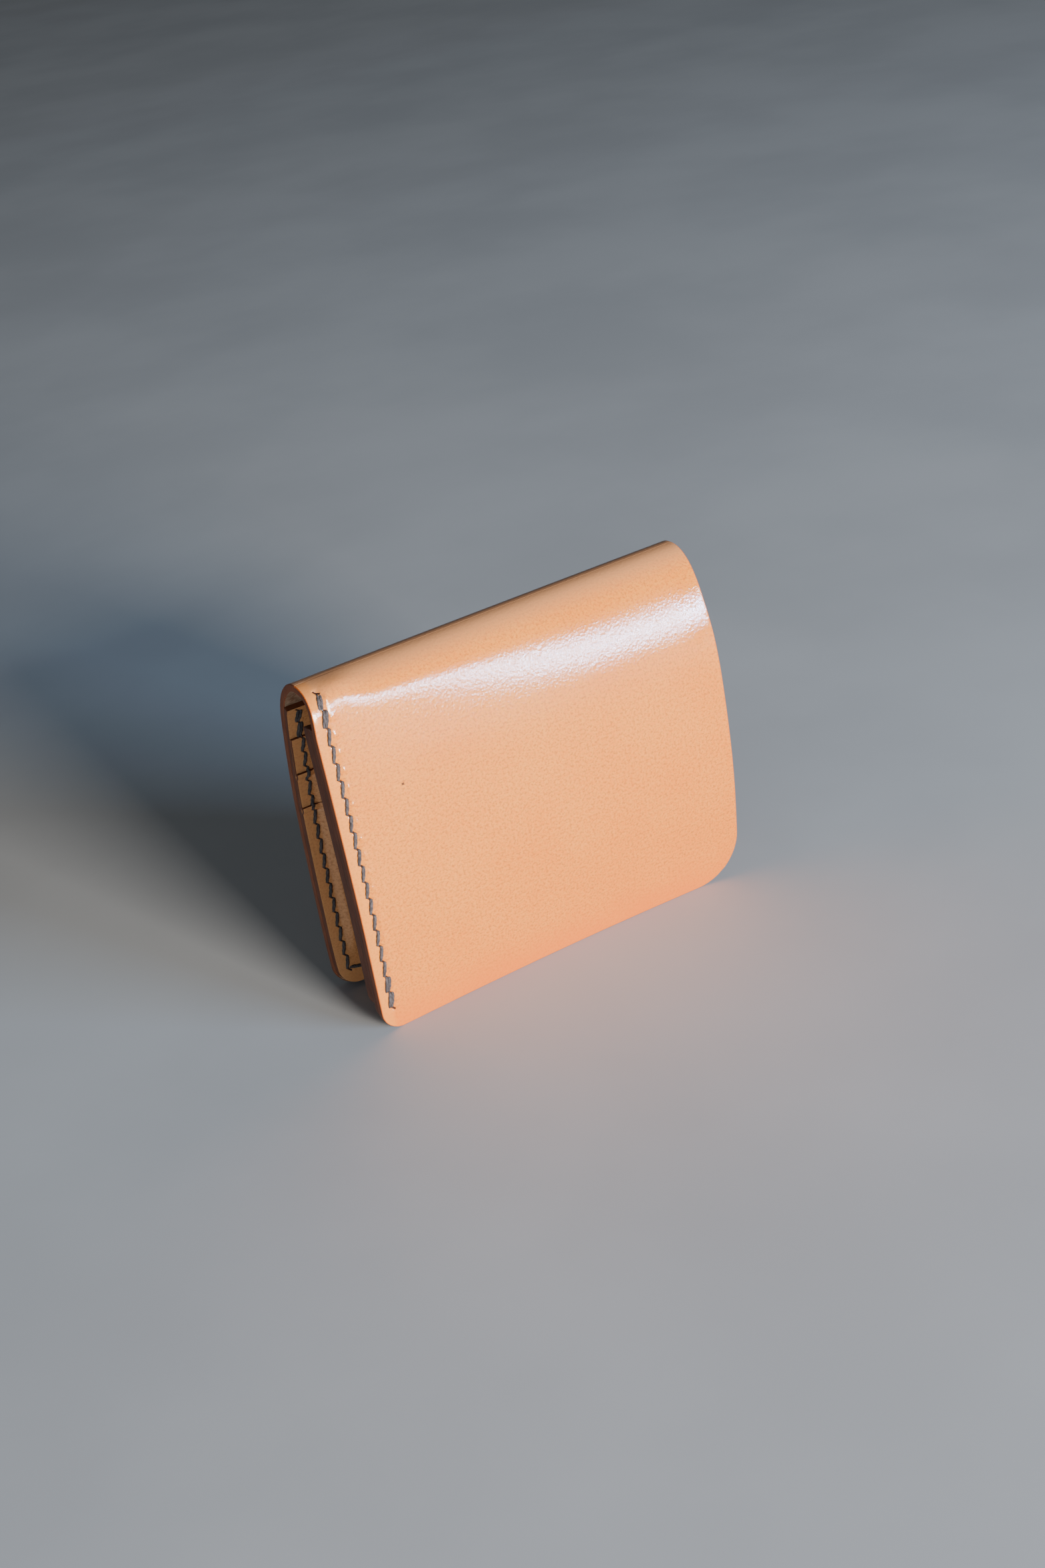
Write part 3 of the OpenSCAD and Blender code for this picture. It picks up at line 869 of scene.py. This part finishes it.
# %% [markdown]
# ## Sewing a seam
# A stitch rises out of one slit, lies on the leather and dives into the next. Its path is
# written in the flat pattern, so the leaf's own bend carries the thread. The height comes
# from a flattened sine, which keeps the thread on the surface for most of its length. A
# seam that shows on both faces of a leaf gets a row on each.

# %% Rows of stitches
PLY_RIDGE = 0.13
SUNK, RISE, FLATNESS = -0.9, 1.02, 0.4
DIVE = 0.65
TILT_SHARE = 0.6
TWIN_SPACING = 0.3


def bent_stitch(start, end, radius, face, out, leaf):
    """The straight stitch's points carried from one slit to the next, in metres."""
    t = stitch_points[:, 2]
    angle = np.arctan2(stitch_points[:, 1], stitch_points[:, 0])
    twist = 1 + PLY_RIDGE * np.cos(2 * (angle - TURNS * 2 * math.pi * t))
    ply = radius * twist * np.hypot(*stitch_points[:, :2].T)
    way = (end - start) / np.linalg.norm(end - start)
    side = np.array([way[1], -way[0]])
    lean = np.cos(math.pi * t)
    run = 0.5 - 0.5 * np.cos(math.pi * np.clip(t, 0, 1)) * (1 - DIVE + DIVE * np.abs(lean))
    lift = SUNK + RISE * np.sin(math.pi * np.clip(t, 0, 1)) ** FLATNESS
    x, up = (start[i] + (end - start)[i] * run + side[i] * ply * np.cos(angle) for i in (0, 1))
    along = -ply * np.sin(angle) * lean * TILT_SHARE
    x, up = x + way[0] * along, up + way[1] * along
    height = lift + ply * np.sin(angle) * np.sqrt(1 - (TILT_SHARE * lean) ** 2)
    return leaf.place(x, up, face(x, up) - out * height)


def stitch_row(name, seams, leaf, out, radius=THREAD_RADIUS):
    """Sew seams, each given by its holes, slit offset, face and the numbers of its doubled stitches."""
    bm = bmesh.new()
    points = []
    for holes, offset, face, doubled in seams:
        for k in range(len(holes) - 1):
            start, end = holes[k] + offset, holes[k + 1] - offset
            upright = abs(end[0] - start[0]) < abs(end[1] - start[1])
            side = TWIN_SPACING * np.array([upright, not upright])
            for shift in (-side, side) if k in doubled else (0 * side,):
                bm.from_mesh(stitch)
                points.append(bent_stitch(start + shift, end + shift, radius, face, out, leaf))
    move_points(bm, np.concatenate(points))
    mesh = bpy.data.meshes.new(name)
    bm.to_mesh(mesh)
    bm.free()
    mesh.materials.append(thread_finish)
    piece = bpy.data.objects.new(name, mesh)
    bpy.context.scene.collection.objects.link(piece)
    print(name, len(points), "stitches")
    return piece


# %% [markdown]
# ## The seams of the two leaves
# A saddle stitch is slanted on the face that the awl enters and straight on the other, so
# the two rows of a leaf differ. The back seam turns the corner and runs on along the foot.
# A third seam holds the far ends of the pockets to the backing.

# %% Seams
SLANT_DOWN, SLANT_ALONG = np.array([0.40, -0.28]), np.array([0.28, 0.40])
STRAIGHT_DOWN, STRAIGHT_ALONG = np.array([0.0, -0.25]), np.array([0.25, 0.0])
FIRST_PAIR = {0, 1}


def last_pair(holes):
    return {len(holes) - 3, len(holes) - 2}


def front_groove(x, up):
    return thread_dents(x, up, front_holes, pit=0)


front_ends = FIRST_PAIR | last_pair(front_holes)
front_stitches = stitch_row(
    "front_seam_stitches", [(front_holes, SLANT_DOWN, front_groove, front_ends)], front_leaf, 1
)
front_lining_stitches = stitch_row(
    "front_seam_lining_stitches", [(front_lining_holes, STRAIGHT_DOWN, bill_face, ())], front_leaf, -1
)
back_stitches = stitch_row(
    "back_seam_stitches",
    [
        (back_side_holes, SLANT_DOWN, inner_face, FIRST_PAIR),
        (back_foot_holes, SLANT_ALONG, inner_face, last_pair(back_foot_holes)),
    ],
    back_leaf,
    -1,
)
back_outer_stitches = stitch_row(
    "back_seam_outer_stitches",
    [
        (back_side_holes, STRAIGHT_DOWN, back_dents, FIRST_PAIR),
        (back_foot_holes, STRAIGHT_ALONG, back_dents, last_pair(back_foot_holes)),
    ],
    back_leaf,
    1,
)
pocket_side_ends = {0, len(pocket_side_holes) - 2}
pocket_side_stitches = stitch_row(
    "pocket_side_stitches",
    [(pocket_side_holes, SLANT_DOWN, inner_face, pocket_side_ends)],
    back_leaf,
    -1,
)

# %% [markdown]
# ## Hems of the hidden pockets
# The two upper pockets end inside the stack, and a hem sews each to the layer behind it.
# The same row of stitches is used with a thin thread, because a thick one would press
# through the pocket that lies over it.

# %% Hem stitches inside the pockets
HEM_MARGIN, HEM_HALF, HEM_LIFT = 2.5, 42.0, 0.1
HEM_THREAD_RADIUS = 0.2


def hem_stitches(name):
    up = MOUTHS[name] - POCKET_DEPTH + HEM_MARGIN
    holes = run_of_holes((-HEM_HALF, up), (HEM_HALF, up), stitches=21)

    def face(x, up):
        return pocket_depth(name, x, up) + POCKET + HEM_LIFT

    seam = (holes, STRAIGHT_ALONG, face, ())
    return stitch_row(f"{name}_hem_stitches", [seam], back_leaf, -1, HEM_THREAD_RADIUS)


hems = {name: hem_stitches(name) for name in ("upper", "middle")}

# %% [markdown]
# ## Riding on the frame
# Most pieces now move with a CAD body: the front lining and its stitches are parented to
# an empty for the front leaf, and the card side with its threads to one for the back leaf.
# The two halves of the cover, the front stitches and the bill panel only have their places
# baked into their meshes. The CAD parts that the pieces stand in for are hidden.


for piece in (cover_front, front_stitches):
    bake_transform(piece)
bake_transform(cover_back)
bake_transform(bill)
for piece in (front_lining, front_lining_stitches):
    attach(piece, "front_leaf")
back_threads = (back_stitches, back_outer_stitches, pocket_side_stitches, *hems.values())
for piece in (card_backing, *pockets.values(), *back_threads):
    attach(piece, "back_leaf")

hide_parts("front_cover", "fold_strip")
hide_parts("back_cover")
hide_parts("card_backing")
for name, piece in pockets.items():
    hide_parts(f"card_pocket_{name}")
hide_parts("front_lining")
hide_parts("bill_panel_sewn_edge", "bill_panel")
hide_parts("front_seam_thread")
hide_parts("back_seam_thread")
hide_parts("pocket_side_thread")
for name, piece in hems.items():
    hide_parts(f"{name}_hem_thread")

# %% [markdown]
# ## Floor
# A plain floor that runs well past the edge of the picture. A slow cloud in its paint keeps
# it from looking like a flat backdrop.

# %% Floor
FLOOR_SIZE = 30.0
FLOOR_DARK, FLOOR_PALE = (0.41, 0.41, 0.41, 1), (0.46, 0.46, 0.458, 1)
floor_mesh = bpy.data.meshes.new("floor")
bm = bmesh.new()
bmesh.ops.create_grid(bm, x_segments=8, y_segments=8, size=FLOOR_SIZE / 2)
bm.to_mesh(floor_mesh)
bm.free()
floor = bpy.data.objects.new("floor", floor_mesh)
bpy.context.scene.collection.objects.link(floor)
paint = Finish("floor_paint")
ground = paint.node("ShaderNodeTexCoord", output="Object")
cloud = paint.between(paint.noise(ground, 9.0, 5.0), 0.3, 0.7)
floor_tone = paint.colours(cloud, FLOOR_DARK, FLOOR_PALE)
floor_mesh.materials.append(paint.surface({"Base Color": floor_tone, "Roughness": 0.8}))
print("floor is", FLOOR_SIZE, "m wide")

# %% [markdown]
# ## Light
# Three soft lights and a dim sky. The key is low and in front, and lights the front leaf
# evenly. A long, low, bluish window at the front right is what draws the shine along the
# shoulder of the fold. A weak cool fill from the left reaches in between the leaves.

# %% Lights
WALLET = (0, 0, 0.045)
SKY_COLOUR, SKY_STRENGTH = (0.88, 0.94, 1.0, 1), 0.11


def soft_light(name, place, size, power, colour):
    """A rectangle of light in metres and watts that faces the wallet."""
    data = bpy.data.lights.new(name, "AREA")
    data.shape, data.size, data.size_y = "RECTANGLE", size[0], size[1]
    data.energy, data.color = power, colour
    light = bpy.data.objects.new(name, data)
    bpy.context.scene.collection.objects.link(light)
    light.location = place
    light.rotation_euler = (Vector(place) - Vector(WALLET)).to_track_quat("Z", "Y").to_euler()


soft_light("key", (0.12, -1.57, 0.38), size=(0.45, 0.45), power=54, colour=(1.0, 0.96, 0.91))
soft_light("window", (0.823, -1.392, 0.355), size=(0.705, 0.03), power=41, colour=(0.44, 0.67, 1.0))
soft_light("fill", (-1.02, -1.21, 0.18), size=(0.8, 0.2), power=6, colour=(0.58, 0.82, 1.0))

sky = bpy.data.worlds.new("studio")
sky.use_nodes = True
background = sky.node_tree.nodes["Background"].inputs
background["Color"].default_value = SKY_COLOUR
background["Strength"].default_value = SKY_STRENGTH
bpy.context.scene.world = sky
print("three lights and a sky")
